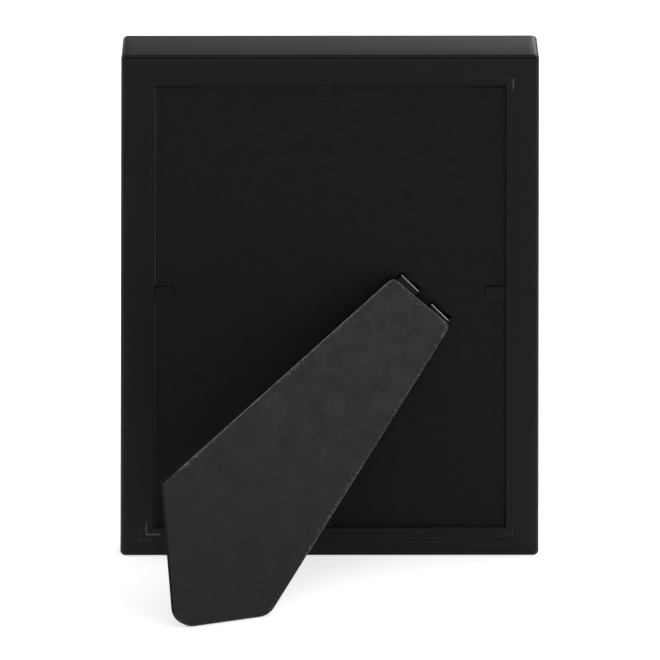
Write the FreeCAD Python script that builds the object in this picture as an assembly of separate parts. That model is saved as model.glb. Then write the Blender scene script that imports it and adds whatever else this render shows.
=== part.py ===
import FreeCAD, Part
import math
import os

# Easel back photo frame for a picture of 4 by 6 inches. It is made upright, in millimetres, with x
# to the right as seen from the front, y backwards from the rim's back face and z up from the
# middle of the frame. The last step leans it back on its leg, so that it stands on z = 0.

Vector = FreeCAD.Vector

# The picture and the sheets behind the lip
picture_width = 101.6
picture_height = 152.4
pane_thickness = 2.0
print_thickness = 0.3
card_thickness = 1.8
board_thickness = 2.2
board_facing_thickness = 0.2
picture_clearance = 0.9
board_clearance = 0.25

# The moulding
rim_width = 9.6
moulding_depth = 13.9
recess_depth = 1.6
ledge_count = 2
ledge_width = 1.9
ledge_drop = 0.2
lip_reach = 4.4
front_flat_width = 5.0
bevel_share = 0.45
wall_draft = 3.0
corner_radius = 1.5
edge_radius = 1.4

# The stance, upright and on its side, in degrees
lean_angle = 12.5
sideways_lean_angle = 14.0
leg_opening = 30.0

# The hinge: its middle on the back, the slope of its line, and its leaf of bent sheet
hinge_offset = 27.8
hinge_rise = 2.6
hinge_slope = 49.0
hinge_width = 20.9
hook_width = 7.5
hook_reach = 2.4
hook_clearance = 0.05
leaf_thickness = 0.5
leaf_length = 14.0
leaf_neck = 3.2
leaf_bend_radius = 0.3
slot_clearance = 0.2
slot_end_clearance = 0.3
tooth_width = 1.4
tooth_height = 1.4
tooth_tip_share = 0.35
tooth_inset = 2.0

# The leg: its top corners from the hinge's middle, its flares in degrees and its corners
leg_thickness = 2.2
leg_facing_thickness = 0.3
leg_gap = 0.15
leg_top_setback = 3.4
leg_top_left = 12.85
leg_top_skew = 1.5
leg_top_right = 11.1
leg_left_flare = 7.6
leg_right_flare = 10.0
leg_top_radius = 2.0
leg_foot_radius = 6.0
leg_heel_radius = 0.6
leg_arris = 0.2
leaf_pocket_clearance = 0.1

# The flexible tabs that hold the back in
tab_width = 5.0
tab_reach = 6.0
tab_thickness = 0.4
tab_gap = 0.15
tab_standoff = 0.5
tab_root_clearance = 0.05
tab_shank_length = 5.0
tab_slot_clearance = 0.03
tab_tip_share = 0.6
top_tab_shift = 1.7
side_tab_rise = 3.8

# How far a cutting solid runs past the face that it cuts
overrun = 1.0

# Sizes that follow
rebate_width = picture_width + 2 * picture_clearance
rebate_height = picture_height + 2 * picture_clearance
outer_width = rebate_width + 2 * rim_width
outer_height = rebate_height + 2 * rim_width
sight_width = rebate_width - 2 * lip_reach
sight_height = rebate_height - 2 * lip_reach
board_width = rebate_width - 2 * board_clearance
board_height = rebate_height - 2 * board_clearance
back_thickness = board_thickness + board_facing_thickness

back_level = -recess_depth
facing_level = back_level - board_facing_thickness
board_level = back_level - back_thickness
card_level = board_level - card_thickness
print_level = card_level - print_thickness
pane_level = print_level - pane_thickness

lean = math.radians(lean_angle)
sideways_lean = math.radians(sideways_lean_angle)
opening = math.radians(leg_opening)
slope = math.radians(hinge_slope)
draft = math.radians(wall_draft)

# Directions on the upright frame: out of the back, along the shut leg and along the hinge
OUTWARDS = Vector(0, 1, 0)
SHUT_LEG = Vector(math.sin(slope), 0, -math.cos(slope))
HINGE_LINE = Vector(-math.cos(slope), 0, -math.sin(slope))

# The hinge turns about the middle of the back's thickness
hinge_middle = Vector(-hinge_offset, back_level - back_thickness / 2, hinge_rise)
leg_height = back_thickness / 2 + leg_gap


# Helpers


def placement(origin, x_axis, y_axis, z_axis):
    """The matrix that carries a piece from its own axes to the given ones."""
    m = FreeCAD.Matrix()
    m.A11, m.A21, m.A31 = x_axis
    m.A12, m.A22, m.A32 = y_axis
    m.A13, m.A23, m.A33 = z_axis
    m.A14, m.A24, m.A34 = origin
    return m


def moved(shape, matrix):
    """A copy of the shape, carried by the matrix."""
    result = shape.copy()
    result.transformShape(matrix)
    return result


def block(low, high):
    """A box between two opposite corners."""
    size = high - low
    return Part.makeBox(size.x, size.y, size.z, low)


def frustum(width, height, level, far_width, far_height, far_level):
    """A block about the frame's middle that narrows or widens from one level to the next."""
    near = (-width / 2, level, -height / 2, -far_height / 2, -far_width / 2)
    far = (width / 2, far_level, height / 2, far_height / 2, far_width / 2)
    return Part.makeWedge(*near, *far)


def slab(width, height, level, far_level):
    """A sheet about the frame's middle between two levels."""
    return frustum(width, height, level, width, height, far_level)


def outline(points, radii):
    """A closed outline through the points, with each corner rounded to its own radius."""
    starts, ends, edges = [], [], []
    for i, corner in enumerate(points):
        back = (points[i - 1] - corner).normalize()
        ahead = (points[(i + 1) % len(points)] - corner).normalize()
        half = back.getAngle(ahead) / 2
        trim = radii[i] / math.tan(half)
        starts.append(corner + back * trim)
        ends.append(corner + ahead * trim)
        if radii[i]:
            middle = (back + ahead).normalize()
            arc_top = corner + middle * (radii[i] / math.sin(half) - radii[i])
            edges.append(Part.Arc(starts[i], arc_top, ends[i]).toShape())
    for i, end in enumerate(ends):
        edges.append(Part.LineSegment(end, starts[(i + 1) % len(points)]).toShape())
    return Part.Wire(Part.__sortEdges__(edges))


def plate(points, radii, low, high):
    """A flat plate with rounded corners between two heights."""
    face = Part.Face(outline(points, radii))
    face.translate(Vector(0, 0, low))
    return face.extrude(Vector(0, 0, high - low))


def bent_strip(path, thickness, inside_radius, low, high):
    """Sheet that is bent along its middle line in the x-z plane and runs along y."""
    limbs = [(b - a).normalize() for a, b in zip(path, path[1:])]
    sides = {1: [], -1: []}
    for i, point in enumerate(path):
        before, after = limbs[max(i - 1, 0)], limbs[min(i, len(limbs) - 1)]
        turn = before.cross(after).y
        mitre = OUTWARDS.cross(before + after) / (1 + before.dot(after))
        for side, corners in sides.items():
            radius = inside_radius if side * turn < 0 else inside_radius + thickness
            corners.append((point - mitre * (side * thickness / 2), radius if turn else 0))
    corners = sides[1] + sides[-1][::-1]
    section = outline([corner for corner, _ in corners], [radius for _, radius in corners])
    strip = Part.Face(section).extrude(Vector(0, high - low, 0))
    strip.translate(Vector(0, low, 0))
    return strip


# The moulding


def drafted_size(size, level):
    """An outer size of the moulding at a level in front of the rim's back face."""
    return size + 2 * level * math.tan(draft)


def moulding_block():
    """The outer form: four walls that draw in a little to the front, with all edges rounded."""
    front = -moulding_depth
    front_size = (drafted_size(outer_width, front), drafted_size(outer_height, front))
    body = frustum(*front_size, front, outer_width, outer_height, 0)
    uprights = [e for e in body.Edges if e.BoundBox.YLength > moulding_depth / 2]
    body = body.makeFillet(corner_radius, uprights)
    around = [e for e in body.Edges if e.BoundBox.YLength < edge_radius / 2]
    return body.makeFillet(edge_radius, around)


def sight_cut():
    """The opening in front of the pane: a straight land, then a bevel out to the front flat."""
    front = -moulding_depth
    bevel_depth = (moulding_depth + pane_level) * bevel_share
    grow = (bevel_depth + overrun) / bevel_depth
    wide = drafted_size(outer_width, front) - 2 * front_flat_width - sight_width
    high = drafted_size(outer_height, front) - 2 * front_flat_width - sight_height
    mouth = (sight_width + wide * grow, sight_height + high * grow, front - overrun)
    bevel = frustum(*mouth, sight_width, sight_height, front + bevel_depth)
    return bevel.fuse(slab(sight_width, sight_height, front, pane_level + overrun))


def frame_moulding():
    """A moulded ring with a lip, a rebate, ledges round the recess and slots for the tabs."""
    body = moulding_block().cut(sight_cut())
    body = body.cut(slab(rebate_width, rebate_height, pane_level, overrun))
    for step in range(1, ledge_count + 1):
        grow = 2 * ledge_width * step
        level = ledge_drop * (step - ledge_count - 1)
        body = body.cut(slab(rebate_width + grow, rebate_height + grow, level, overrun))
    for matrix in tab_places().values():
        body = body.cut(moved(shank_slot(), matrix))
    return body


# The sheets behind the lip


def glass_pane():
    return slab(picture_width, picture_height, pane_level, print_level)


def print_sheet():
    return slab(picture_width, picture_height, print_level, card_level)


def hook_spans():
    """The two stretches of the hinge line that the hooks take."""
    half = hinge_width / 2
    return [(-half, hook_width - half), (half - hook_width, half)]


def shut_leg_place():
    """Leg axes with the leg shut: x along it, y along the hinge line, z out of the back."""
    return placement(hinge_middle, SHUT_LEG, HINGE_LINE, OUTWARDS)


def hook_slots():
    """Two slots through the back, wide enough for the hooks to rock in."""
    rock = back_thickness / 2 * math.tan(opening) + leaf_thickness / 2 / math.cos(opening)
    half = rock + slot_clearance
    deep = back_thickness / 2 + overrun
    slots = []
    for low, high in hook_spans():
        start = Vector(-half, low - slot_end_clearance, -deep)
        end = Vector(half, high + slot_end_clearance, deep)
        slots.append(moved(block(start, end), shut_leg_place()))
    return Part.Compound(slots)


def back_sheet(level, far_level):
    return slab(board_width, board_height, level, far_level).cut(hook_slots())


def back_board():
    return back_sheet(board_level, facing_level)


def back_facing():
    return back_sheet(facing_level, back_level)


def filler_card():
    """Card between print and back, with a window where the hooks hang when the leg is shut."""
    deep = back_thickness / 2 + card_thickness + overrun
    half = hinge_width / 2 + slot_end_clearance
    swing = (back_thickness + leaf_thickness) * math.sin(opening)
    start = Vector(-swing, -half, -deep)
    end = Vector(hook_reach + leaf_thickness, half, deep)
    card = slab(picture_width, picture_height, card_level, board_level)
    return card.cut(moved(block(start, end), shut_leg_place()))


# The hinge leaf and the leg, in leg axes


def hook_path():
    """The middle line of a hook: off the leg, through the slot and back under the board.

    Its last limb lies along the board when the leg is open, and that stops the leg.
    """
    above = leg_height + leaf_thickness / 2
    below = back_thickness / 2 + hook_clearance + leaf_thickness / 2
    start = Vector(leaf_neck + leaf_thickness, 0, above)
    upper = Vector(above * math.tan(opening), 0, above)
    lower = Vector(-below * math.sin(opening), 0, -below * math.cos(opening))
    end = lower + Vector(math.cos(opening), 0, -math.sin(opening)) * hook_reach
    return [start, upper, lower, end]


def leaf_teeth():
    """Four tapered teeth, raised from the leaf and pressed into the leg."""
    base = leg_height + leaf_thickness
    foot, tip = tooth_width / 2, tooth_width * tooth_tip_share / 2
    teeth = []
    for x in (leaf_neck + tooth_inset, leaf_length - tooth_inset):
        for y in (tooth_inset - hinge_width / 2, hinge_width / 2 - tooth_inset):
            corners = [
                Vector(x, y - foot, base),
                Vector(x, y + foot, base),
                Vector(x, y + tip, base + tooth_height),
                Vector(x, y - tip, base + tooth_height),
            ]
            profile = Part.Face(Part.makePolygon(corners + corners[:1]))
            teeth.append(profile.extrude(Vector(leaf_thickness, 0, 0)))
    return Part.Compound(teeth)


def hinge_leaf():
    """One leaf of sheet: a plate under the leg, two hooks round the board and four teeth."""
    low = Vector(leaf_neck, -hinge_width / 2, leg_height)
    high = Vector(leaf_length, hinge_width / 2, leg_height + leaf_thickness)
    leaf = block(low, high)
    for start, end in hook_spans():
        leaf = leaf.fuse(bent_strip(hook_path(), leaf_thickness, leaf_bend_radius, start, end))
    return leaf.fuse(leaf_teeth()).removeSplitter()


def ground_distance(half_size, tilt):
    """From the frame's middle to the ground, with the rounded back edge on the ground."""
    edge_middle = half_size - edge_radius * (math.tan(draft) + 1 / math.cos(draft))
    return edge_middle * math.cos(tilt) + edge_radius * (1 - math.sin(tilt))


def ground_line(down, half_size, tilt):
    """The line a x + b y = c where the ground cuts the open leg's underside, in leg axes."""
    along = SHUT_LEG * math.cos(opening) + OUTWARDS * math.sin(opening)
    out = OUTWARDS * math.cos(opening) - SHUT_LEG * math.sin(opening)
    depth = ground_distance(half_size, tilt) - (hinge_middle + out * leg_height).dot(down)
    return along.dot(down), HINGE_LINE.dot(down), depth


def side_line(corner, flare):
    """The line a x + b y = c of a side of the leg that starts at a corner."""
    a, b = math.sin(math.radians(flare)), -math.cos(math.radians(flare))
    return a, b, a * corner.x + b * corner.y


def crossing(first, second):
    """Where two lines a x + b y = c meet."""
    a, b, c = first
    d, e, f = second
    scale = a * e - b * d
    return Vector((c * e - b * f) / scale, (a * f - c * d) / scale, 0)


def leg_corners():
    """The leg's five corners. Both edges of its foot lie on the ground in their own stance."""
    left_top = Vector(leg_top_setback, -leg_top_left, 0)
    right_top = Vector(leg_top_setback - leg_top_skew, leg_top_right, 0)
    left_side = side_line(left_top, -leg_left_flare)
    right_side = side_line(right_top, leg_right_flare)
    downwards = Vector(0, math.sin(lean), -math.cos(lean))
    sideways = Vector(math.cos(sideways_lean), math.sin(sideways_lean), 0)
    foot = ground_line(downwards, outer_height / 2, lean)
    side_foot = ground_line(sideways, outer_width / 2, sideways_lean)
    corner, toe, heel = crossing(right_side, foot), crossing(foot, side_foot), crossing(side_foot, left_side)
    return [left_top, right_top, corner, toe, heel]


def leg_plate(low, high):
    radii = [leg_top_radius, leg_top_radius, leg_foot_radius, leg_foot_radius, leg_heel_radius]
    return plate(leg_corners(), radii, low, high)


def leg_board():
    """The leg with a pocket for the leaf's plate and a slit for each tooth."""
    half = hinge_width / 2 + leaf_pocket_clearance
    low = Vector(-leaf_length, -half, leg_height - overrun)
    high = Vector(leaf_length + leaf_pocket_clearance, half, leg_height + leaf_thickness)
    body = leg_plate(leg_height, leg_height + leg_thickness)
    return body.cut(block(low, high)).cut(leaf_teeth())


def leg_facing():
    """Paper on the leg's outer face, with a worn arris."""
    low = leg_height + leg_thickness
    sheet = leg_plate(low, low + leg_facing_thickness)
    arris = [e for e in sheet.Edges if e.BoundBox.ZMin > low + leg_facing_thickness / 2]
    return sheet.makeChamfer(leg_arris, arris)


def open_leg_place():
    """Leg axes at rest, with the leg swung open about the hinge line."""
    swing = FreeCAD.Rotation(HINGE_LINE, -leg_opening)
    return placement(hinge_middle, swing.multVec(SHUT_LEG), HINGE_LINE, swing.multVec(OUTWARDS))


# The flexible tabs, about the line where they bend: x into the recess, z out of the back


def tab_places():
    level = back_level + tab_gap + tab_thickness / 2
    across, up = rebate_width / 2 - tab_standoff, rebate_height / 2 - tab_standoff
    places = {
        "top": (Vector(top_tab_shift, level, up), Vector(0, 0, -1)),
        "bottom": (Vector(top_tab_shift, level, -up), Vector(0, 0, 1)),
        "right": (Vector(across, level, side_tab_rise), Vector(-1, 0, 0)),
        "left": (Vector(-across, level, side_tab_rise), Vector(1, 0, 0)),
    }
    return {name: placement(point, inwards, OUTWARDS.cross(inwards), OUTWARDS)
            for name, (point, inwards) in places.items()}


def tab_tongue():
    """The free end of a tab: flat, with round corners and a round root that it bends about."""
    length, half, thick = tab_reach - tab_standoff, tab_width / 2, tab_thickness / 2
    tip = half * tab_tip_share
    corners = [Vector(0, half, 0), Vector(0, -half, 0), Vector(length, -half, 0), Vector(length, half, 0)]
    tongue = plate(corners, [0, 0, tip, tip], -thick, thick)
    root = Part.makeCylinder(thick, tab_width, Vector(0, -half, 0), Vector(0, 1, 0))
    return tongue.fuse(root).removeSplitter()


def tab_shank():
    """The buried end of a tab, which stops just short of the root of the free end."""
    half, thick = tab_width / 2, tab_thickness / 2
    low = Vector(-tab_standoff - tab_shank_length, -half, -thick)
    return block(low, Vector(-thick - tab_root_clearance, half, thick))


def shank_slot():
    """The slot in the moulding for a shank."""
    half, thick = tab_width / 2 + tab_slot_clearance, tab_thickness / 2 + tab_slot_clearance
    low = Vector(-tab_standoff - tab_shank_length - tab_slot_clearance, -half, -thick)
    return block(low, Vector(0, half, thick))


# The whole frame


def pieces():
    """Every piece under its name, on the upright frame with the leg open."""
    leg = open_leg_place()
    found = {
        "frame_moulding": frame_moulding(),
        "glass_pane": glass_pane(),
        "print_sheet": print_sheet(),
        "filler_card": filler_card(),
        "back_board": back_board(),
        "back_facing": back_facing(),
        "hinge_leaf": moved(hinge_leaf(), leg),
        "leg_board": moved(leg_board(), leg),
        "leg_facing": moved(leg_facing(), leg),
    }
    places = tab_places()
    for name, matrix in places.items():
        found["flex_tab_" + name] = moved(tab_tongue(), matrix)
    found["tab_shanks"] = Part.Compound([moved(tab_shank(), matrix) for matrix in places.values()])
    return found


def standing_place(shapes):
    """Lean the frame back, stand it on z = 0 and centre its box over the origin."""
    leaned = FreeCAD.Rotation(Vector(1, 0, 0), -lean_angle)
    axes = [leaned.multVec(axis) for axis in (Vector(1, 0, 0), Vector(0, 1, 0), Vector(0, 0, 1))]
    trial = Part.Compound([moved(shape, placement(Vector(), *axes)) for shape in shapes])
    centre = trial.optimalBoundingBox(False, False).Center
    return placement(Vector(-centre.x, -centre.y, ground_distance(outer_height / 2, lean)), *axes)


upright_pieces = pieces()
stand = standing_place(upright_pieces.values())
os.makedirs("parts", exist_ok=True)
for name, shape in upright_pieces.items():
    piece = moved(shape, stand)
    piece.exportStep(os.path.join("parts", name + ".step"))
    print(name, "solids", len(piece.Solids), "volume", round(piece.Volume, 2), piece.isValid())
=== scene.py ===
# %% [markdown]
# # An easel back photo frame, seen from behind
#
# The real thing is a black moulded frame that stands on its lower edge and on a slanted leg.
# Its back is sunk in a stepped recess and held by four soft tabs. The leg swings on a bent
# metal leaf, whose two hooks show as bright lines beyond the leg's top.
#
# The construction is finished before this script starts: every solid comes from the packed
# model, in metres, with +Z up and the back of the frame towards +Y. What is left for this
# script is what the eye adds, which is finishes, paper fibres, worn edges, light and a camera.
# Left and right in these notes are as seen from behind, so left is +X. The names of the two
# side tabs are as seen from the front.

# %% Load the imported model
import math

import bpy
from mathutils import Matrix, Vector


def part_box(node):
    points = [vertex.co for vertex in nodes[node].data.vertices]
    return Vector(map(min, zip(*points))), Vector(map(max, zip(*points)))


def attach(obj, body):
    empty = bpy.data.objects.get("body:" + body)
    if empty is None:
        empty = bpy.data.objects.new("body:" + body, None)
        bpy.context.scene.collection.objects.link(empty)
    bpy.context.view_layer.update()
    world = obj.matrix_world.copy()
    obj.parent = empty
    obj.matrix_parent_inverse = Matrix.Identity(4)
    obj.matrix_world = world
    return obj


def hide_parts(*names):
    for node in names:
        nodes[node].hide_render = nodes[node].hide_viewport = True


MILLIMETRE = 0.001

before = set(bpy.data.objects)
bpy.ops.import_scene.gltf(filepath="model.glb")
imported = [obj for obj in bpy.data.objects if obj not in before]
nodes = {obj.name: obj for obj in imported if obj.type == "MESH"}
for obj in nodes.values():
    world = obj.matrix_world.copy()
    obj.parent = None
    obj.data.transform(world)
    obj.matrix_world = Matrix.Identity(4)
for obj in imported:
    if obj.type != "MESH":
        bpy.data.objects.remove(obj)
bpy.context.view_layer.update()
print("nodes", sorted(nodes))

# %% [markdown]
# ## Small helpers for node trees
#
# A finish is a tree of nodes, and so is a piece made by Geometry Nodes. One helper adds a node
# and fills its inputs, either with a plain value or with a link from another node's socket.
# Others do sums, so that the recipes below read like a list of steps.

# %% Helpers for nodes


def add_node(tree, kind, inputs=None, **settings):
    """A new node. Inputs are given by name or number, as a value or as a socket to link."""
    made = tree.nodes.new(kind)
    for name, value in settings.items():
        setattr(made, name, value)
    for name, value in (inputs or {}).items():
        if isinstance(value, bpy.types.NodeSocket):
            tree.links.new(value, made.inputs[name])
        else:
            made.inputs[name].default_value = value
    return made


def arithmetic(tree, operation, first, second):
    """The result of one sum on two values or sockets."""
    return add_node(tree, "ShaderNodeMath", {0: first, 1: second}, operation=operation).outputs[0]


def absolute(tree, value):
    """A value without its sign."""
    return add_node(tree, "ShaderNodeMath", {0: value}, operation="ABSOLUTE").outputs[0]


def product(tree, first, *others):
    """Values or sockets multiplied with each other."""
    for other in others:
        first = arithmetic(tree, "MULTIPLY", first, other)
    return first


def spread(tree, factor, low, high, new_low, new_high):
    """A value mapped from one range to another and held inside it."""
    inputs = {0: factor, 1: low, 2: high, 3: new_low, 4: new_high}
    return add_node(tree, "ShaderNodeMapRange", inputs).outputs[0]


# %% [markdown]
# ## Helpers for finishes
#
# Every finish is one Principled shader. What is the same all over is set on the shader's own
# sockets. What varies comes from noise in Object coordinates, so it sticks to the piece when
# the piece moves and has a real size: a noise of scale 1000 has cells about 1 mm wide.

# %% Helpers for finishes
# Most values of a noise lie in this range.
NOISE_RANGE = (0.3, 0.7)


def grey(level, tint=(1.0, 1.0, 1.0)):
    """A colour of one level, leaning to a tint."""
    return tuple(level * part for part in tint) + (1.0,)


def new_finish(name, **values):
    """A material with one Principled shader. A socket is named with _ for each space."""
    material = bpy.data.materials.new(name)
    material.use_nodes = True
    tree = material.node_tree
    shader = tree.nodes["Principled BSDF"]
    for socket, value in values.items():
        shader.inputs[socket.replace("_", " ")].default_value = value
    place = add_node(tree, "ShaderNodeTexCoord").outputs
    return material, tree, shader, place


def noise(tree, place, cell, detail=3.0, roughness=0.55, stretch=(1.0, 1.0, 1.0)):
    """Noise from 0 to 1 with cells of a size in metres, stretched along the axes."""
    inputs = {"Vector": place["Object"], "Scale": tuple(1.0 / part for part in stretch)}
    drawn_out = add_node(tree, "ShaderNodeMapping", inputs).outputs["Vector"]
    inputs = {"Vector": drawn_out, "Scale": 1.0 / cell, "Detail": detail, "Roughness": roughness}
    return add_node(tree, "ShaderNodeTexNoise", inputs).outputs["Fac"]


def ramp(tree, factor, low, high):
    """A colour between two stops, which are a place and a colour each."""
    made = add_node(tree, "ShaderNodeValToRGB", {"Fac": factor})
    for element, stop in zip(made.color_ramp.elements, (low, high)):
        element.position, element.color = stop
    return made.outputs["Color"]


def mottled(tree, factor, level, share, tint):
    """A grey that noise makes darker and lighter by a share of its level."""
    low, high = NOISE_RANGE
    return ramp(tree, factor, (low, grey(level * (1.0 - share), tint)),
                (high, grey(level * (1.0 + share), tint)))


def mixed(tree, factor, first, second):
    """Two colours mixed by a factor: 0 gives the first and 1 the second."""
    inputs = {0: factor, 6: first, 7: second}
    return add_node(tree, "ShaderNodeMix", inputs, data_type="RGBA").outputs[2]


def give(tree, shader, socket, value):
    """Link a colour or a value to one of the shader's sockets."""
    tree.links.new(value, shader.inputs[socket])


def relief(tree, shader, height, depth, strength=1.0):
    """Bump from a height between 0 and 1, as deep as a size in metres, over any earlier bump."""
    inputs = {"Height": height, "Distance": depth, "Strength": strength}
    for link in shader.inputs["Normal"].links:
        inputs["Normal"] = link.from_socket
    give(tree, shader, "Normal", add_node(tree, "ShaderNodeBump", inputs).outputs["Normal"])


def dress(node, material):
    """Give a construction node its finish."""
    for slot in nodes[node].material_slots:
        slot.material = material


# %% [markdown]
# ## Which way things face
#
# The frame leans back and the leg is set askew, so nothing about them lies along the world's
# axes. A finish that follows an edge needs the sheet's own directions. They are measured here
# from the meshes, so they stay right when the construction changes.

# %% Measure directions and sizes


def outer_direction(node):
    """The direction of a sheet's outer face: the most area, on the side away from the frame."""
    areas = {}
    for polygon in nodes[node].data.polygons:
        if polygon.normal.y > 0:
            key = tuple(round(part, 2) for part in polygon.normal)
            total, heading = areas.get(key, (0.0, Vector()))
            areas[key] = (total + polygon.area, heading + polygon.normal * polygon.area)
    area, heading = max(areas.values(), key=lambda entry: entry[0])
    print(node, "outer face", round(area / MILLIMETRE ** 2), "square mm")
    return heading.normalized()


leg_outward = outer_direction("leg_facing")
back_outward = outer_direction("back_facing")
LEAN = math.atan2(-back_outward.z, back_outward.y)
UPRIGHT = Matrix.Rotation(LEAN, 3, "X")


def leaning_box(node):
    """A node's middle and half size across the frame, through it and up it."""
    points = [UPRIGHT @ vertex.co for vertex in nodes[node].data.vertices]
    low = Vector([min(point[axis] for point in points) for axis in range(3)])
    high = Vector([max(point[axis] for point in points) for axis in range(3)])
    print(node, "is", [round(size / MILLIMETRE, 1) for size in high - low], "mm along the leaning frame")
    return (low + high) / 2, (high - low) / 2


moulding_middle, moulding_half = leaning_box("frame_moulding")
board_middle, board_half = leaning_box("back_board")
print("lean", round(math.degrees(LEAN), 2), "degrees")


def on_the_frame(tree, place, middle):
    """Places in metres from a middle: X across the leaning frame, Y through it and Z up it."""
    inputs = {"Vector": place["Object"], "Rotation": (LEAN, 0.0, 0.0), "Location": -middle}
    turned = add_node(tree, "ShaderNodeMapping", inputs).outputs["Vector"]
    return add_node(tree, "ShaderNodeSeparateXYZ", {0: turned}).outputs


# %% [markdown]
# ## The soft shapes of the moulding
#
# The outer sides of the moulding are slightly crowned, so light fades from their front edge to
# their back edge, and the rim falls off softly towards its left and right sides. Both shapes
# are too shallow to see in an outline, and only the light tells of them. They could be modelled,
# but a bump does the same to the light and leaves the measured solid as it is.

# %% Crown and shoulder
CROWN = 0.30 * MILLIMETRE
SHOULDER = 0.34 * MILLIMETRE
SHOULDER_WIDTH = 3.0 * MILLIMETRE


def rounded(tree, share):
    """1 where a share is 0, falling ever faster to 0 where it is 1."""
    return arithmetic(tree, "SUBTRACT", 1.0, product(tree, share, share))


def crown_height(tree, place):
    """1 at the middle of the moulding's depth, falling to 0 at its front and back edges."""
    through = on_the_frame(tree, place, moulding_middle)["Y"]
    return rounded(tree, arithmetic(tree, "DIVIDE", through, moulding_half.y))


def shoulder_height(tree, place):
    """1 on the rim, falling to 0 at its left and right edges."""
    across = on_the_frame(tree, place, moulding_middle)["X"]
    inside = arithmetic(tree, "SUBTRACT", moulding_half.x, absolute(tree, across))
    return rounded(tree, spread(tree, inside, 0.0, SHOULDER_WIDTH, 1.0, 0.0))


# %% [markdown]
# ## Pale lines at the corners of the ledge
#
# The recess has a ledge of two steps. Their sharp arrises are painted pale near the corners:
# most at the lower left, where the outer arris shows too, then on the upright arris at the
# upper right, and only faintly at the lower right. A painted picture would have to be laid
# over the mesh with care. Here an arris is simply a line at a fixed distance outside the back
# board, so a few sums on the place find it, and a share for each corner says how pale it is.

# %% Find the arrises near the corners
INNER_ARRIS = 2.15 * MILLIMETRE
OUTER_ARRIS = 4.05 * MILLIMETRE
ARRIS_WIDTH = 0.24 * MILLIMETRE
OUTER_SHARE = 0.25
PALE_LINE_LENGTH = 4.6 * MILLIMETRE
PALE_UPRIGHT = 0.6
PALE_LEVEL = 0.1
PALE_FAINTLY = 0.13
PALE_LINE_GREY = grey(0.135)
FADE_DEPTH = 0.3 * MILLIMETRE


def around_the_back(tree, place):
    """How far a place is outside the back: to a side, above or below it, and the larger of both."""
    where = on_the_frame(tree, place, board_middle)
    aside = arithmetic(tree, "SUBTRACT", absolute(tree, where["X"]), board_half.x)
    above = arithmetic(tree, "SUBTRACT", absolute(tree, where["Z"]), board_half.z)
    return aside, above, arithmetic(tree, "MAXIMUM", aside, above)


def line_at(tree, measure, value, solid, fade, level=1.0):
    """A line where a measure has a value: as strong as a level, up to solid, and gone at fade."""
    off = absolute(tree, arithmetic(tree, "SUBTRACT", measure, value))
    return spread(tree, off, solid, fade, level, 0.0)


def behind_the_board(tree, place):
    """0 in front of the middle of the back board, and 1 a little behind it."""
    through = on_the_frame(tree, place, board_middle)["Y"]
    return spread(tree, through, 0.0, FADE_DEPTH, 0.0, 1.0)


def corner_paleness(tree, slant, beside, up):
    """How pale each corner's lines are. Slant runs from -2 at the upper right to 2 at the lower left.

    Beside is over 0 on upright lines and under 0 on level ones."""
    lower_left = spread(tree, slant, 0.5, 2.0, 0.0, 1.0)
    share = spread(tree, beside, -ARRIS_WIDTH, ARRIS_WIDTH, PALE_LEVEL, PALE_UPRIGHT)
    upper_right = spread(tree, slant, -0.5, -2.0, 0.0, share)
    low_down = spread(tree, up, -board_half.z, board_half.z, PALE_FAINTLY, 0.0)
    strongest = arithmetic(tree, "MAXIMUM", lower_left, upper_right)
    return arithmetic(tree, "MAXIMUM", strongest, low_down)


def pale_corner_lines(tree, place):
    """How pale the ledge's arrises are painted: up to 1 close to a corner, and 0 elsewhere."""
    where = on_the_frame(tree, place, board_middle)
    aside, above, outside = around_the_back(tree, place)
    slant = arithmetic(tree, "SUBTRACT", arithmetic(tree, "DIVIDE", where["X"], board_half.x),
                       arithmetic(tree, "DIVIDE", where["Z"], board_half.z))
    outer_share = spread(tree, slant, -1.0, 1.0, 0.0, OUTER_SHARE)
    inner = line_at(tree, outside, INNER_ARRIS, 0.4 * ARRIS_WIDTH, ARRIS_WIDTH)
    outer = line_at(tree, outside, OUTER_ARRIS, 0.4 * ARRIS_WIDTH, ARRIS_WIDTH, outer_share)
    lines = product(tree, arithmetic(tree, "ADD", inner, outer), behind_the_board(tree, place))
    from_corner = arithmetic(tree, "SUBTRACT", outside, arithmetic(tree, "MINIMUM", aside, above))
    near = spread(tree, from_corner, 0.7 * PALE_LINE_LENGTH, PALE_LINE_LENGTH, 1.0, 0.0)
    beside = arithmetic(tree, "SUBTRACT", aside, above)
    return product(tree, lines, near, corner_paleness(tree, slant, beside, where["Z"]))


# %% [markdown]
# ## Painted light on the moulding
#
# A paler colour is painted where shade falls, as painted light: in the groove beside the back
# board, so that it isn't a black line, on the steps of the ledge along the foot, whose walls lie
# in shade, and thinly over the frame's foot, which lies in shade near the floor, more on the left,
# where the leg shades it, than on the right. It falls off with the height over the foot.

# %% Find where light is painted
# The grey of the painted light, laid where shade falls.
PAINTED_LIGHT_GREY = grey(0.018)
PAINTED_LIGHT_HEIGHT = 90 * MILLIMETRE
PAINTED_LIGHT_RIGHT = 0.3
PAINTED_LIGHT_LEFT = 0.62
GROOVE_WIDTH = 0.25 * MILLIMETRE
STEP_PAINTED_LIGHT = 0.6
STEP_PAINTED_LIGHT_WIDTH = 0.2 * MILLIMETRE


def painted_light_at_foot(tree, place):
    """Painted light over the frame's foot, more on the left than on the right, and none further up."""
    where = on_the_frame(tree, place, moulding_middle)
    share = spread(tree, where["X"], -moulding_half.x, moulding_half.x, PAINTED_LIGHT_RIGHT, PAINTED_LIGHT_LEFT)
    height = arithmetic(tree, "ADD", moulding_half.z, where["Z"])
    return product(tree, share, spread(tree, height, 0.0, PAINTED_LIGHT_HEIGHT, 1.0, 0.0))


# Painted light in the groove beside the back board, so that its shade isn't a black line.
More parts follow.
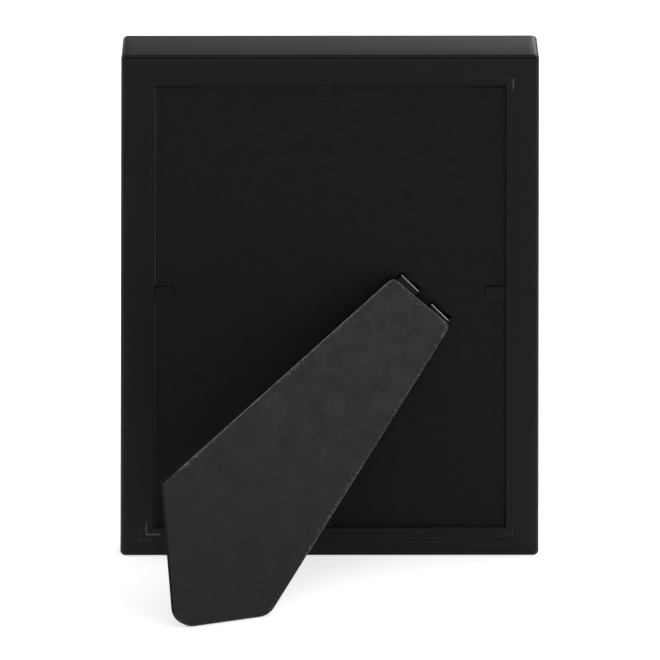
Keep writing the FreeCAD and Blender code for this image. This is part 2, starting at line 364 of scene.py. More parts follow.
def painted_light_in_groove(tree, place):
    """1 on the recess's upright walls and at its foot, and 0 at its top."""
    aside, above, outside = around_the_back(tree, place)
    up = on_the_frame(tree, place, board_middle)["Z"]
    wall = line_at(tree, outside, GROOVE_WIDTH, 0.5 * GROOVE_WIDTH, 0.6 * GROOVE_WIDTH)
    level = spread(tree, up, -board_half.z, board_half.z, 1.0, 0.0)
    beside = arithmetic(tree, "SUBTRACT", aside, above)
    return product(tree, wall, spread(tree, beside, -GROOVE_WIDTH, 0.0, level, 1.0))


def painted_light_on_steps(tree, place):
    """Painted light on the ledge's two steps along the foot of the frame, and none elsewhere."""
    up = on_the_frame(tree, place, board_middle)["Z"]
    below = arithmetic(tree, "SUBTRACT", product(tree, up, -1.0), board_half.z)
    inner, outer = (line_at(tree, below, arris, 0.5 * STEP_PAINTED_LIGHT_WIDTH, STEP_PAINTED_LIGHT_WIDTH, STEP_PAINTED_LIGHT)
                    for arris in (INNER_ARRIS, OUTER_ARRIS))
    return product(tree, arithmetic(tree, "MAXIMUM", inner, outer), behind_the_board(tree, place))


# %% [markdown]
# ## The moulding
#
# The moulding is black all through with a satin face. It is plain, but not dead: the satin is a
# fine grain, and handling leaves broad areas a little smoother than others. A hair of painted
# shade runs along the top of the rim. A single black would look like a hole in the picture, so
# slow noise varies the colour and the roughness, fine noise is a bump, and what the helpers above
# have found is laid over the colour in turn: painted light, pale corner lines, painted shade.

# %% Satin black of the moulding
MOULDING_BLACK = 0.0061
MOULDING_TINT = (0.97, 1.01, 1.02)
MOULDING_SHEEN = grey(1.0, (0.965, 0.95, 1.0))
HANDLING_CELL = 22 * MILLIMETRE
GRAIN_CELL = 0.35 * MILLIMETRE
GRAIN_DEPTH = 0.006 * MILLIMETRE
# A thin line of painted shade along the top of the rim.
EDGE_SHADE_BELOW_TOP = 0.48 * MILLIMETRE
EDGE_SHADE_WIDTH = 0.3 * MILLIMETRE
EDGE_SHADE_GREY = grey(0.0006)


def painted_edge_shade(tree, place):
    """1 on a thin line of painted shade along the top of the rim, at its back edge."""
    where = on_the_frame(tree, place, moulding_middle)
    line = line_at(tree, where["Z"], moulding_half.z - EDGE_SHADE_BELOW_TOP, 0.5 * EDGE_SHADE_WIDTH, EDGE_SHADE_WIDTH)
    behind = spread(tree, where["Y"], 0.5 * moulding_half.y, 0.6 * moulding_half.y, 0.0, 1.0)
    return product(tree, line, behind)


def moulding_finish():
    """Satin black with a fine grain, under painted light, pale corner lines and painted shade."""
    material, tree, shader, place = new_finish(
        "satin_moulding", Specular_IOR_Level=0.082, Specular_Tint=MOULDING_SHEEN)
    handling = noise(tree, place, HANDLING_CELL, detail=4.0)
    colour = mottled(tree, handling, MOULDING_BLACK, 0.06, MOULDING_TINT)
    # Paler colour where shade falls: painted light in the groove, on the steps and at the foot.
    for painted_light in (painted_light_at_foot, painted_light_in_groove, painted_light_on_steps):
        colour = mixed(tree, painted_light(tree, place), colour, PAINTED_LIGHT_GREY)
    # Pale lines painted on the ledge's arrises near the corners.
    colour = mixed(tree, pale_corner_lines(tree, place), colour, PALE_LINE_GREY)
    # Painted shade: a thin dark line where the rim's rounded top edge turns from the light.
    colour = mixed(tree, painted_edge_shade(tree, place), colour, EDGE_SHADE_GREY)
    give(tree, shader, "Base Color", colour)
    give(tree, shader, "Roughness", spread(tree, handling, *NOISE_RANGE, 0.30, 0.35))
    relief(tree, shader, crown_height(tree, place), CROWN)
    relief(tree, shader, shoulder_height(tree, place), SHOULDER)
    relief(tree, shader, noise(tree, place, GRAIN_CELL, detail=2.0), GRAIN_DEPTH, strength=0.6)
    return material


dress("frame_moulding", moulding_finish())
print("moulding dressed")

# %% [markdown]
# ## The back
#
# The back board is dark fibreboard with black paper laid on its outside. The paper drinks the
# light, so it has almost no gloss, and its short fibres show as a soft mottle. Along its left
# side a thin pale line is painted, a painted highlight where the paper's edge catches the light,
# and near the top corners a thin dark line, painted shade in the gap beside the recess. The sheet
# is only 0.2 mm thick, so both are lines in the colour, measured from the board's own edges.

# %% Black paper of the back
PAPER_BLACK = 0.0092
PAPER_TINT = (0.95, 1.02, 1.0)
# The painted highlight along the back's left side.
SIDE_HIGHLIGHT_GREY = grey(0.046)
SIDE_HIGHLIGHT_WIDTH = 0.55 * MILLIMETRE
# Painted shade in the gap beside the recess, near the back's top corners.
GAP_SHADE_BLACK = grey(0.0)
GAP_SHADE_BELOW_TOP = 1.6 * MILLIMETRE
GAP_SHADE_WIDTH = 0.28 * MILLIMETRE
GAP_SHADE_LENGTH = 15.0 * MILLIMETRE


def painted_side_highlight(tree, place, cloud):
    """1 on a thin line along the back's left side, and less where a noise is low."""
    across = on_the_frame(tree, place, board_middle)["X"]
    inside = arithmetic(tree, "SUBTRACT", board_half.x, across)
    line = spread(tree, inside, 0.6 * SIDE_HIGHLIGHT_WIDTH, SIDE_HIGHLIGHT_WIDTH, 1.0, 0.0)
    return product(tree, line, spread(tree, cloud, 0.3, 0.6, 0.6, 1.0))


def painted_gap_shade(tree, place):
    """1 on a thin level line of painted shade near each of the back's two top corners."""
    where = on_the_frame(tree, place, board_middle)
    height = board_half.z - GAP_SHADE_BELOW_TOP
    line = line_at(tree, where["Z"], height, 0.4 * GAP_SHADE_WIDTH, GAP_SHADE_WIDTH)
    begin, full = board_half.x - GAP_SHADE_LENGTH, board_half.x - 0.6 * GAP_SHADE_LENGTH
    return product(tree, line, spread(tree, absolute(tree, where["X"]), begin, full, 0.0, 1.0))


def back_paper_finish():
    """Matt black paper with a painted highlight along its side and painted shade at its top corners."""
    material, tree, shader, place = new_finish("back_paper", Specular_IOR_Level=0.06)
    cloud = noise(tree, place, 3.0 * MILLIMETRE, detail=5.0)
    fibre = noise(tree, place, 0.5 * MILLIMETRE, detail=4.0, roughness=0.7)
    colour = mottled(tree, cloud, PAPER_BLACK, 0.12, PAPER_TINT)
    # Painted highlight: a pale line along the left side, where the paper's edge catches the light.
    colour = mixed(tree, painted_side_highlight(tree, place, cloud), colour, SIDE_HIGHLIGHT_GREY)
    # Painted shade: a dark line in the gap near the top corners.
    colour = mixed(tree, painted_gap_shade(tree, place), colour, GAP_SHADE_BLACK)
    give(tree, shader, "Base Color", colour)
    give(tree, shader, "Roughness", spread(tree, fibre, *NOISE_RANGE, 0.65, 0.8))
    relief(tree, shader, fibre, 0.02 * MILLIMETRE, strength=0.25)
    return material


dress("back_facing", back_paper_finish())
print("back's paper dressed")

# %% [markdown]
# ## The boards
#
# Both boards are pressed from brown fibre that is dyed nearly black. They show only at their
# cut edges, where the fibre lies in layers. Noise that is stretched sideways and along the
# board looks like such layers, and it needs no mesh of its own.

# %% Dark fibreboard
BOARD_BROWN = (0.0048, 0.0046, 0.0044)


def board_finish():
    """Dark fibre in layers."""
    material, tree, shader, place = new_finish("dark_fibreboard", Roughness=0.85, Specular_IOR_Level=0.05)
    layers = noise(tree, place, 0.6 * MILLIMETRE, detail=5.0, stretch=(3.0, 1.0, 3.0))
    colour = ramp(tree, layers, (0.3, grey(0.5, BOARD_BROWN)), (0.75, grey(1.0, BOARD_BROWN)))
    give(tree, shader, "Base Color", colour)
    relief(tree, shader, layers, 0.06 * MILLIMETRE, strength=0.7)
    return material


fibreboard = board_finish()
for board in ("back_board", "leg_board"):
    dress(board, fibreboard)
print("boards dressed")

# %% [markdown]
# ## The sheets behind the pane
#
# Nothing of these shows from behind, but the front is a picture frame's business side. The pane
# is clear glass: a mostly see-through surface that lets the lamps through to the paper and
# keeps a thin gloss and a faint green. The print is a bare sheet of smooth paper, and the card
# behind it is grey-brown pulp board. Glass that bends the light would be truer, but it would
# keep the lamps' light from the paper, so the pane has a low alpha instead.

# %% Pane, print and card
PANE_GREEN = (0.02, 0.03, 0.025, 1.0)
PRINT_LIGHT = (0.80, 0.78, 0.74, 1.0)
PRINT_DARK = (0.74, 0.72, 0.68, 1.0)
CARD_LIGHT = (0.42, 0.36, 0.28, 1.0)
CARD_DARK = (0.30, 0.25, 0.19, 1.0)


def pane_finish():
    """Clear glass with a thin film that varies its gloss."""
    material, tree, shader, place = new_finish(
        "clear_pane", Base_Color=PANE_GREEN, Alpha=0.2, Specular_IOR_Level=1.0)
    film = noise(tree, place, 18 * MILLIMETRE)
    give(tree, shader, "Roughness", spread(tree, film, 0.35, 0.75, 0.02, 0.06))
    return material


def sheet_finish(name, light, dark, cell, tooth, rough):
    """Paper or card: a mottled colour and a fine tooth, in cells of one size."""
    material, tree, shader, place = new_finish(name, Roughness=rough, Specular_IOR_Level=0.3)
    pulp = noise(tree, place, cell, detail=5.0, roughness=0.65)
    low, high = NOISE_RANGE
    give(tree, shader, "Base Color", ramp(tree, pulp, (low, dark), (high, light)))
    relief(tree, shader, pulp, tooth, strength=0.5)
    return material


dress("glass_pane", pane_finish())
dress("print_sheet", sheet_finish(
    "print_paper", PRINT_LIGHT, PRINT_DARK, cell=1.2 * MILLIMETRE, tooth=0.01 * MILLIMETRE, rough=0.55))
dress("filler_card", sheet_finish(
    "filler_card", CARD_LIGHT, CARD_DARK, cell=0.8 * MILLIMETRE, tooth=0.04 * MILLIMETRE, rough=0.9))
print("sheets dressed")

# %% [markdown]
# ## The insert
#
# In the construction the print lies right against the pane. Two faces in one plane confuse a
# renderer, which can't tell which comes first. A copy of the sheet takes its place here, with
# its front face a few hundredths of a millimetre behind the pane, where real paper lies too.

# %% Set the insert back from the pane
AIR_GAP = 0.03 * MILLIMETRE


def new_object(name, data):
    """An object in the scene that shows a mesh, a lamp or a camera."""
    made = bpy.data.objects.new(name, data)
    bpy.context.scene.collection.objects.link(made)
    return made


def set_back_sheet(name, node, body):
    """A copy of a sheet with its front face moved back by the air gap."""
    mesh = nodes[node].data.copy()
    front = min((UPRIGHT @ vertex.co).y for vertex in mesh.vertices)
    moved = [vertex for vertex in mesh.vertices if (UPRIGHT @ vertex.co).y < front + AIR_GAP]
    for vertex in moved:
        vertex.co += back_outward * AIR_GAP
    mesh.materials.clear()
    mesh.materials.append(nodes[node].material_slots[0].material)
    piece = new_object(name, mesh)
    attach(piece, body)
    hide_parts(node)
    print(name, "moved back", len(moved), "corners")


set_back_sheet("print_insert", "print_sheet", "frame")

# %% [markdown]
# ## The tabs
#
# The tabs and their buried ends are blacked soft steel, quite matt. The blacking is a little
# uneven, so a fine noise varies both its colour and its roughness. That is enough for strips
# that are hardly a few millimetres long.

# %% Blacked steel of the tabs
STEEL_DARK = grey(0.0038)
STEEL_LIGHT = grey(0.0068)


def tab_finish():
    """Soft steel with uneven blacking."""
    material, tree, shader, place = new_finish("blacked_steel", Specular_IOR_Level=0.08)
    patches = noise(tree, place, 0.9 * MILLIMETRE, detail=4.0)
    give(tree, shader, "Base Color", ramp(tree, patches, (0.35, STEEL_DARK), (0.8, STEEL_LIGHT)))
    give(tree, shader, "Roughness", spread(tree, patches, *NOISE_RANGE, 0.45, 0.65))
    return material


steel = tab_finish()
for strip in ("tab_shanks", "flex_tab_top", "flex_tab_bottom", "flex_tab_left", "flex_tab_right"):
    dress(strip, steel)
print("tabs dressed")

# %% [markdown]
# ## The hinge leaf
#
# The leaf is a darkened sheet, and only its bends, where the skin of the metal was drawn, are
# bright: they are the two lines that shine beyond the top of the leg. A second material on the
# bends would need its faces picked by number. A bend can be told by its direction instead: it
# lies between the leg's outer face and its edge, and it looks up.

# %% Darkened sheet with bright bends
LEAF_DARK = grey(0.006)
LEAF_LIGHT = grey(0.014)
BEND_BRIGHT = grey(0.6)


def slanted(tree, place, direction, flat, steep):
    """1 where the surface leans away from a direction, by cosines between flat and steep."""
    inputs = {0: place["Normal"], 1: direction}
    cosine = add_node(tree, "ShaderNodeVectorMath", inputs, operation="DOT_PRODUCT").outputs["Value"]
    return product(tree, spread(tree, cosine, *flat, 0.0, 1.0), spread(tree, cosine, *steep, 0.0, 1.0))


def leaf_finish():
    """Dark metal with fine scratches, bright on its bends."""
    material, tree, shader, place = new_finish("darkened_sheet", Metallic=1.0)
    scratches = noise(tree, place, 0.08 * MILLIMETRE, detail=3.0, stretch=(1.0, 14.0, 1.0))
    low, high = NOISE_RANGE
    dark = ramp(tree, scratches, (low, LEAF_DARK), (high, LEAF_LIGHT))
    bend = slanted(tree, place, leg_outward, flat=(0.96, 0.9), steep=(0.6, 0.72))
    rising = add_node(tree, "ShaderNodeSeparateXYZ", {0: place["Normal"]}).outputs["Z"]
    bend = product(tree, bend, spread(tree, rising, 0.1, 0.3, 0.0, 1.0))
    give(tree, shader, "Base Color", mixed(tree, bend, dark, BEND_BRIGHT))
    give(tree, shader, "Roughness", spread(tree, scratches, *NOISE_RANGE, 0.2, 0.35))
    relief(tree, shader, scratches, 0.004 * MILLIMETRE, strength=0.5)
    return material


dress("hinge_leaf", leaf_finish())
print("leaf dressed")

# %% [markdown]
# ## The leg's paper
#
# The leg is faced with black paper that looks like fine leather: a bluish dark grey, mottled,
# with pale flecks. Towards the foot its mottle is calmer, and it is painted darker, as painted
# shade where less light falls. Along its edge a pale arris is painted, as a painted highlight
# where the edge catches the light. The construction has a tiny chamfer there, and a chamfer is
# the only place where the surface leans half way from the face, so the finish finds it by its
# direction and needs no picture. The edge on the left faces away from the lamps and gets none.

# %% Leather-like paper of the leg
LEG_DARK = grey(0.0150, (0.92, 1.03, 1.07))
LEG_LIGHT = grey(0.0375, (0.985, 1.0, 1.08))
LEG_MEAN = grey(0.0262, (0.92, 1.01, 1.09))
FLECK_GREY = grey(0.06)
# The painted highlight on the leg's arris.
ARRIS_HIGHLIGHT = grey(0.21)
LEG_FOOT = 10 * MILLIMETRE
LEG_HEIGHT = 95 * MILLIMETRE
LEG_SLANT = 0.35
CALM_AT_FOOT = 0.6
# How dark the painted shade is at the foot.
SHADE_AT_FOOT = 0.34
# The leg's edge beyond this, on the left, faces away from the lamps.
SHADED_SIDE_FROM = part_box("leg_facing")[1].x - 3.5 * MILLIMETRE


def painted_arris_highlight(tree, place, where, pebble):
    """1 on the chamfer round the leg, less where a noise is low, and 0 on the side away from the lamps.
    """
    chamfer = slanted(tree, place, leg_outward, flat=(0.97, 0.9), steep=(0.3, 0.5))
    uneven = spread(tree, pebble, 0.38, 0.6, 0.2, 1.0)
    lit_side = spread(tree, where["X"], SHADED_SIDE_FROM - 2 * MILLIMETRE, SHADED_SIDE_FROM, 1.0, 0.0)
    return product(tree, chamfer, uneven, lit_side)


def leg_paper_finish():
    """Mottled paper with flecks, painted shade at the foot and a painted highlight on its arris."""
    material, tree, shader, place = new_finish("leg_paper", Specular_IOR_Level=0.12)
    cloud = noise(tree, place, 5.0 * MILLIMETRE, detail=5.0)
    pebble = noise(tree, place, 1.1 * MILLIMETRE, detail=5.0, roughness=0.7)
    fleck = noise(tree, place, 0.45 * MILLIMETRE, detail=2.0)
    where = add_node(tree, "ShaderNodeSeparateXYZ", {0: place["Object"]}).outputs
    height = arithmetic(tree, "SUBTRACT", where["Z"], product(tree, where["X"], LEG_SLANT))
    colour = mixed(tree, 0.5, ramp(tree, pebble, (0.33, LEG_DARK), (0.68, LEG_LIGHT)),
                   ramp(tree, cloud, (0.36, LEG_DARK), (0.64, LEG_LIGHT)))
    calm = spread(tree, height, LEG_FOOT, 0.6 * LEG_HEIGHT, CALM_AT_FOOT, 0.0)
    colour = mixed(tree, calm, colour, LEG_MEAN)
    colour = mixed(tree, spread(tree, fleck, 0.66, 0.78, 0.0, 0.5), colour, FLECK_GREY)
    # Painted shade: darker towards the foot and the left, where less light falls.
    shade = spread(tree, height, LEG_FOOT, LEG_HEIGHT, SHADE_AT_FOOT, 0.0)
    colour = mixed(tree, shade, colour, grey(0.0))
    # Painted highlight on the chamfer round the leg, where its edge catches the light.
    colour = mixed(tree, painted_arris_highlight(tree, place, where, pebble), colour, ARRIS_HIGHLIGHT)
    give(tree, shader, "Base Color", colour)
    give(tree, shader, "Roughness", spread(tree, pebble, *NOISE_RANGE, 0.5, 0.7))
    relief(tree, shader, pebble, 0.10 * MILLIMETRE)
    return material


dress("leg_facing", leg_paper_finish())
print("leg dressed")

# %% [markdown]
# ## Geometry Nodes for what repeats
#
# Two things repeat on the leg: hundreds of short paper fibres that lie on its face, and small
# pale chips where its edge is worn. Both follow the leg's outer face, so both trees start from
# the same flat mesh, cut out of the facing. Each tree ends in Realize Instances and Set
# Material, and the result is turned into a plain mesh.

# %% The leg's outer face as a mesh of its own
SAME_DIRECTION = 0.999
DECIMALS_OF_A_METRE = 7


def face_mesh(node, direction):
    """The triangles of a node that look along a direction, with their corners joined."""
    source = nodes[node].data
    corners, triangles = {}, []
    for polygon in source.polygons:
        if polygon.normal.dot(direction) > SAME_DIRECTION:
            places = [source.vertices[number].co for number in polygon.vertices]
            keys = [tuple(round(part, DECIMALS_OF_A_METRE) for part in place) for place in places]
            triangles.append([corners.setdefault(key, len(corners)) for key in keys])
    mesh = bpy.data.meshes.new("leg_face")
    mesh.from_pydata(list(corners), [], triangles)
    return mesh


leg_face = face_mesh("leg_facing", leg_outward)
print("leg face has", len(leg_face.polygons), "triangles")

# %% Helpers for Geometry Nodes


def new_tree(name, **sockets):
    """A geometry tree with named inputs. Each input is given as its socket kind and its value."""
    tree = bpy.data.node_groups.new(name, "GeometryNodeTree")
    tree.interface.new_socket("Geometry", in_out="INPUT", socket_type="NodeSocketGeometry")
    tree.interface.new_socket("Geometry", in_out="OUTPUT", socket_type="NodeSocketGeometry")
    for socket, (kind, value) in sockets.items():
        made = tree.interface.new_socket(socket, in_out="INPUT", socket_type="NodeSocket" + kind)
        made.default_value = value
    return tree, tree.nodes.new("NodeGroupInput").outputs, tree.nodes.new("NodeGroupOutput")


def scattered(tree, given):
    """Points spread by chance over the mesh, with the tree's density and seed."""
    inputs = {"Mesh": given["Geometry"], "Density": given["Density"], "Seed": given["Seed"]}
    return add_node(tree, "GeometryNodeDistributePointsOnFaces", inputs).outputs


def by_chance(tree, given, low, high):
    """A number between two others for each point, by the tree's seed."""
    inputs = {2: low, 3: high, "Seed": given["Seed"]}
    return add_node(tree, "FunctionNodeRandomValue", inputs).outputs[1]


def close_tree(tree, output, geometry, material):
    """Realize the instances, give them their finish and end the tree."""
    solid = add_node(tree, "GeometryNodeRealizeInstances", {0: geometry}).outputs[0]
    dressed = add_node(tree, "GeometryNodeSetMaterial", {0: solid, "Material": material}).outputs[0]
    tree.links.new(dressed, output.inputs[0])


def grown_piece(name, mesh, tree, values, body):
    """Run a tree on a mesh, keep the result as a plain piece and let it ride on a body."""
    seed = new_object(name + "_seed", mesh)
    modifier = seed.modifiers.new("grow", "NODES")
    modifier.node_group = tree
    for item in tree.interface.items_tree:
        if item.in_out == "INPUT" and item.name in values:
            modifier[item.identifier] = values[item.name]
    grown = seed.evaluated_get(bpy.context.evaluated_depsgraph_get())
    piece = new_object(name, bpy.data.meshes.new_from_object(grown))
    bpy.data.objects.remove(seed)
    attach(piece, body)
    print(name, "has", len(piece.data.polygons), "faces")


# %% [markdown]
# ## Fibres on the leg
#
# A fibre is a thread of a few segments, about a millimetre long. Points are scattered on the
# face, each gets a thread turned by chance about the face's direction, and slow noise then
# bends the threads within the face, so that no two are alike. Noise in the colour alone would
# give a mottle, but no thread that catches the light along its length.

# %% Grow the fibres
FIBRE_DARK = grey(0.018)
FIBRE_PALE = grey(0.062, (0.98, 1.0, 1.03))
FIBRES_PER_SQUARE_MM = 0.22
FIBRE_LENGTH = 1.3 * MILLIMETRE
FIBRE_WIDTH = 0.07 * MILLIMETRE
FIBRE_POINTS = 5
FIBRE_SIDES = 3
SHORTEST_FIBRE = 0.35
BENDS_PER_FIBRE = 0.9


def fibre_finish():
    """Grey fibres, some of them paler."""
    material, tree, shader, place = new_finish("paper_fibres", Roughness=0.6, Specular_IOR_Level=0.3)
    chance = noise(tree, place, 1.7 * MILLIMETRE, detail=1.0)
    colour = ramp(tree, chance, (0.35, FIBRE_DARK), (0.7, FIBRE_PALE))
    give(tree, shader, "Base Color", colour)
    return material


def straight_thread(tree, given):
    """One thread along X, as long and as thick as the tree's inputs say."""
    end = add_node(tree, "ShaderNodeCombineXYZ", {"X": given["Length"]}).outputs[0]
    line = add_node(tree, "GeometryNodeCurvePrimitiveLine", {"End": end}).outputs[0]
    line = add_node(tree, "GeometryNodeResampleCurve", {"Curve": line, "Count": FIBRE_POINTS}).outputs[0]
    inputs = {"Resolution": FIBRE_SIDES, "Radius": product(tree, given["Width"], 0.5)}
    ring = add_node(tree, "GeometryNodeCurvePrimitiveCircle", inputs).outputs[0]
    inputs = {"Curve": line, "Profile Curve": ring, "Fill Caps": True}
    return add_node(tree, "GeometryNodeCurveToMesh", inputs).outputs[0]


def vectors(tree, operation, first, second):
    """The vector that comes of one sum on two vectors or sockets."""
    inputs = {0: first, 1: second}
    return add_node(tree, "ShaderNodeVectorMath", inputs, operation=operation).outputs["Vector"]


def bent_within_face(tree, geometry, given):
    """Push points by slow noise, but only across the face's direction."""
    place = add_node(tree, "GeometryNodeInputPosition").outputs[0]
    inputs = {"Vector": place, "Scale": arithmetic(tree, "DIVIDE", BENDS_PER_FIBRE, given["Length"])}
    wave = add_node(tree, "ShaderNodeTexNoise", inputs).outputs["Color"]
    push = vectors(tree, "SUBTRACT", wave, (0.5, 0.5, 0.5))
    out_of_face = vectors(tree, "PROJECT", push, given["Outward"])
    inputs = {0: vectors(tree, "SUBTRACT", push, out_of_face), "Scale": given["Length"]}
    shift = add_node(tree, "ShaderNodeVectorMath", inputs, operation="SCALE").outputs["Vector"]
    return add_node(tree, "GeometryNodeSetPosition", {0: geometry, "Offset": shift}).outputs[0]


def fibre_tree():
    """Threads scattered on a face, each turned, scaled and bent by chance."""
    tree, given, output = new_tree(
        "leg_fibres", Density=("Float", 1.0), Length=("Float", 1.0), Width=("Float", 1.0),
        Outward=("Vector", (0.0, 0.0, 1.0)), Seed=("Int", 0))
    points = scattered(tree, given)
    inputs = {"Axis": (0.0, 0.0, 1.0), "Angle": by_chance(tree, given, 0.0, math.tau)}
    turn = add_node(tree, "FunctionNodeAxisAngleToRotation", inputs).outputs[0]
    inputs = {0: points["Rotation"], 1: turn}
    lay = add_node(tree, "FunctionNodeRotateRotation", inputs, rotation_space="LOCAL").outputs[0]
    inputs = {"Points": points["Points"], "Instance": straight_thread(tree, given),
              "Rotation": lay, "Scale": by_chance(tree, given, SHORTEST_FIBRE, 1.0)}
    threads = add_node(tree, "GeometryNodeInstanceOnPoints", inputs).outputs[0]
    threads = add_node(tree, "GeometryNodeRealizeInstances", {0: threads}).outputs[0]
    close_tree(tree, output, bent_within_face(tree, threads, given), fibre_finish())
    return tree


grown_piece("leg_fibres", leg_face, fibre_tree(), {
    "Density": FIBRES_PER_SQUARE_MM / MILLIMETRE ** 2, "Length": FIBRE_LENGTH,
    "Width": FIBRE_WIDTH, "Outward": leg_outward, "Seed": 11}, "leg")

# %% [markdown]
# ## Chips along the leg's edge
#
# The worn edge isn't a clean line: small pale chips of board show through the paper, close
# together on the edge and fewer a little way in. They are partly wear and partly painted
# highlight, as they brighten only the edges that catch the light. Chips set by hand would be a
# long list, and chips on the edge alone would look like a string of beads. So the tree takes the
# outline of the face, which is each edge with only one face, and leaves out the side away from
# the lamps. It scatters points over the whole face, keeps those whose distance to the outline is
# less than a reach that varies by chance and from place to place, and puts a small pebble on
# each. The chips come in groups, with clean lengths of edge between them.

# %% Find the worn part of the outline


def less(tree, first, second):
    """Whether one value is less than another."""
    return add_node(tree, "FunctionNodeCompare", {0: first, 1: second}, operation="LESS_THAN").outputs[0]


def worn_and_lit_outline(tree, given):
    """The edges of the face that have one side only, apart from those beyond a limit across."""
    sides = add_node(tree, "GeometryNodeInputMeshEdgeNeighbors").outputs[0]
    rim = add_node(tree, "FunctionNodeCompare", {2: sides, 3: 1}, data_type="INT", operation="EQUAL")
    where = add_node(tree, "GeometryNodeInputPosition").outputs[0]
    across = add_node(tree, "ShaderNodeSeparateXYZ", {0: where}).outputs["X"]
    inputs = {0: rim.outputs[0], 1: less(tree, across, given["Limit"])}
    worn = add_node(tree, "FunctionNodeBooleanMath", inputs).outputs[0]
    inputs = {"Mesh": given["Geometry"], "Selection": worn}
    outline = add_node(tree, "GeometryNodeMeshToCurve", inputs).outputs[0]
    return add_node(tree, "GeometryNodeCurveToMesh", {"Curve": outline}).outputs[0]


# %% Grow the chips
CHIP_DUSTY = grey(0.05)
CHIP_PALE = grey(0.22, (1.0, 0.99, 0.96))
CHIPS_PER_SQUARE_MM = 16.0
CHIP_RADIUS = 0.125 * MILLIMETRE
CHIP_REACH = 1.6 * MILLIMETRE
SMALLEST_CHIP = 0.3
LARGEST_CHIP = 1.3
CROWDING = 3.0
GROUP_LENGTH = 9.0 * MILLIMETRE
REACH_BETWEEN_GROUPS = 0.1


def chip_finish():
    """Pale board and dusty board by turns."""
    material, tree, shader, place = new_finish("worn_and_lit_edge", Roughness=0.8, Specular_IOR_Level=0.3)
    chance = noise(tree, place, 0.8 * MILLIMETRE, detail=2.0)
    colour = ramp(tree, chance, (0.4, CHIP_DUSTY), (0.65, CHIP_PALE))
    give(tree, shader, "Base Color", colour)
    return material


def uneven_reach(tree, given):
    """How far from the outline a chip may lie: crowded to the edge by chance, and in groups."""
    crowded = arithmetic(tree, "POWER", by_chance(tree, given, 0.0, 1.0), CROWDING)
    inputs = {"Scale": arithmetic(tree, "DIVIDE", 1.0, given["Group"]), "Detail": 1.0}
    group = add_node(tree, "ShaderNodeTexNoise", inputs).outputs[0]
    share = spread(tree, group, 0.45, 0.65, REACH_BETWEEN_GROUPS, 1.0)
    return product(tree, given["Reach"], product(tree, crowded, share))


def chip_tree():
    """Pebbles of chance sizes near the worn part of a face's outline."""
    tree, given, output = new_tree(
        "leg_chips", Density=("Float", 1.0), Radius=("Float", 1.0), Reach=("Float", 1.0),
        Group=("Float", 1.0), Limit=("Float", 1.0), Seed=("Int", 0))
    inputs = {0: worn_and_lit_outline(tree, given)}
    near = add_node(tree, "GeometryNodeProximity", inputs, target_element="EDGES").outputs["Distance"]
    inputs = {"Radius": given["Radius"], "Subdivisions": 1}
    pebble = add_node(tree, "GeometryNodeMeshIcoSphere", inputs).outputs[0]
    inputs = {"Points": scattered(tree, given)["Points"], "Instance": pebble,
              "Selection": less(tree, near, uneven_reach(tree, given)),
              "Scale": by_chance(tree, given, SMALLEST_CHIP, LARGEST_CHIP)}
    chips = add_node(tree, "GeometryNodeInstanceOnPoints", inputs).outputs[0]
    close_tree(tree, output, chips, chip_finish())
    return tree


# The chips stay off the side away from the lamps, partly as painted highlight.
grown_piece("leg_edge_chips", leg_face, chip_tree(), {
    "Density": CHIPS_PER_SQUARE_MM / MILLIMETRE ** 2, "Radius": CHIP_RADIUS,
    "Reach": CHIP_REACH, "Group": GROUP_LENGTH, "Limit": SHADED_SIDE_FROM, "Seed": 5}, "leg")

# %% [markdown]
# ## Floor and background
#
# The photograph has a white ground. A large pale floor takes the object's shadow, and seen by
# the camera, or in a reflection, it gets a little light of its own, so that it is white where
# no shadow falls. The world does the same above the horizon. Brighter lamps would whiten the
# floor too, but they would also wash out the black frame.

# %% Floor and world
FLOOR_SIZE = 12.0
FLOOR_COLOUR = grey(0.88)
FLOOR_LIFT = 0.62
WORLD_FILL = 0.16


def seen_directly(tree):
    """1 for what the camera sees, also in a reflection or through glass, and 0 for other light."""
    path = add_node(tree, "ShaderNodeLightPath").outputs
    seen = arithmetic(tree, "MAXIMUM", path["Is Camera Ray"], path["Is Glossy Ray"])
    return arithmetic(tree, "MAXIMUM", seen, path["Is Transmission Ray"])


def floor_finish():
    """A matt floor that glows a little where it is seen directly."""
    material, tree, shader = new_finish(
        "pale_floor", Base_Color=FLOOR_COLOUR, Roughness=0.9, Specular_IOR_Level=0.1,
        Emission_Color=grey(1.0))[:3]
    give(tree, shader, "Emission Strength", product(tree, seen_directly(tree), FLOOR_LIFT))
    return material


half = FLOOR_SIZE / 2
floor_mesh = bpy.data.meshes.new("floor")
floor_mesh.from_pydata([(-half, -half, 0), (half, -half, 0), (half, half, 0), (-half, half, 0)],
                       [], [(0, 1, 2, 3)])
floor_mesh.materials.append(floor_finish())
floor = new_object("floor", floor_mesh)

world = bpy.data.worlds.new("studio")
bpy.context.scene.world = world
world.use_nodes = True
sky = world.node_tree
background = sky.nodes["Background"]
background.inputs["Color"].default_value = grey(1.0)
give(sky, background, "Strength", spread(sky, seen_directly(sky), 0.0, 1.0, WORLD_FILL, 1.0))
bpy.context.scene.view_settings.view_transform = "Standard"
print("floor and world set")

# %% [markdown]
# ## Lamps
#
# The top of the frame is its brightest face, and most of that is a soft reflection, so a large
# lamp stands beyond the frame, above its front and to the right. One overhead draws the
# light over the top's rounded edge, and a wide one near the camera opens the shadows. A
# smaller one on the right, nearer, lights the leg's top more than its foot. The last
# two stand beside the frame, a little to its front, and only reach its rounded edges. All are
# broad, because a small lamp would draw hard shadows and dots of light on the satin.

# %% Lamps
low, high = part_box("frame_moulding")
frame_middle = (low + high) / 2


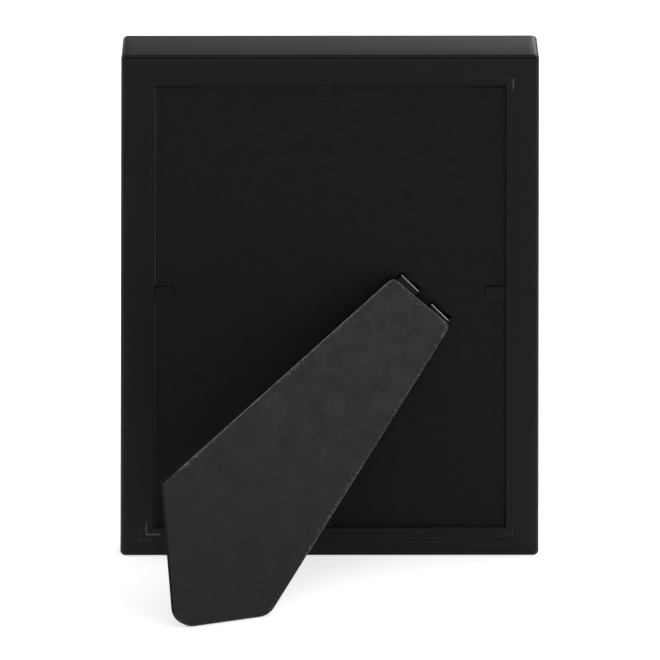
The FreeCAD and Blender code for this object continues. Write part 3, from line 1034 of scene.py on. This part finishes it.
def soft_box(name, place, size, power):
    """A rectangular lamp in metres and watts that looks at the middle of the frame."""
    lamp = bpy.data.lights.new(name, "AREA")
    lamp.shape, lamp.energy = "RECTANGLE", power
    lamp.size, lamp.size_y = size
    holder = new_object(name, lamp)
    holder.location = place
    holder.rotation_euler = (frame_middle - Vector(place)).to_track_quat("-Z", "Y").to_euler()
    holder.visible_camera = False
    print(name, "gives", power, "watts")


soft_box("front_top", place=(-0.75, -1.1, 0.95), size=(1.4, 0.8), power=20.5)
soft_box("overhead", place=(-0.2, 0.6, 1.3), size=(1.0, 0.6), power=4.0)
soft_box("camera_fill", place=(0.45, 1.4, 0.12), size=(1.8, 0.5), power=8.6)
soft_box("right_key", place=(-0.4, 0.45, 0.5), size=(0.4, 0.4), power=0.4)
soft_box("left_edge", place=(1.1, -0.2, 0.55), size=(1.0, 1.0), power=5.0)
soft_box("right_edge", place=(-1.1, -0.2, 0.55), size=(1.0, 1.0), power=6.0)

# %% [markdown]
# ## Camera
#
# The upright edges in the photograph stay parallel, as through a very long lens, so the camera
# is orthographic and its scale says how much it takes in. It looks down by about 20
# degrees, which follows from how much of the top face shows, and from almost straight
# behind, because neither side of the moulding shows.

# %% Camera
CAMERA_DISTANCE = 1.5
CAMERA_ELEVATION = math.radians(19.94)
CAMERA_AZIMUTH = math.radians(0.226)
CAMERA_ROLL = math.radians(0.036)
CAMERA_SPAN = 193.19 * MILLIMETRE
AIM_BELOW_MIDDLE = 10.14 * MILLIMETRE
AIM_RIGHT_OF_MIDDLE = 0.09 * MILLIMETRE


def parallel_camera():
    """An orthographic camera that looks at a point a little below the middle of the frame."""
    towards = Vector((math.sin(CAMERA_AZIMUTH) * math.cos(CAMERA_ELEVATION),
                      math.cos(CAMERA_AZIMUTH) * math.cos(CAMERA_ELEVATION),
                      math.sin(CAMERA_ELEVATION)))
    turn = towards.to_track_quat("Z", "Y").to_matrix()
    aim = frame_middle + turn.col[0] * AIM_RIGHT_OF_MIDDLE - turn.col[1] * AIM_BELOW_MIDDLE
    data = bpy.data.cameras.new("camera")
    data.type, data.ortho_scale = "ORTHO", CAMERA_SPAN
    camera = new_object("camera", data)
    camera.location = aim + towards * CAMERA_DISTANCE
    camera.rotation_euler = turn.to_euler()
    camera.rotation_euler.rotate_axis("Z", CAMERA_ROLL)
    return camera


bpy.context.scene.camera = parallel_camera()
print("camera at", tuple(round(part, 3) for part in bpy.context.scene.camera.location))
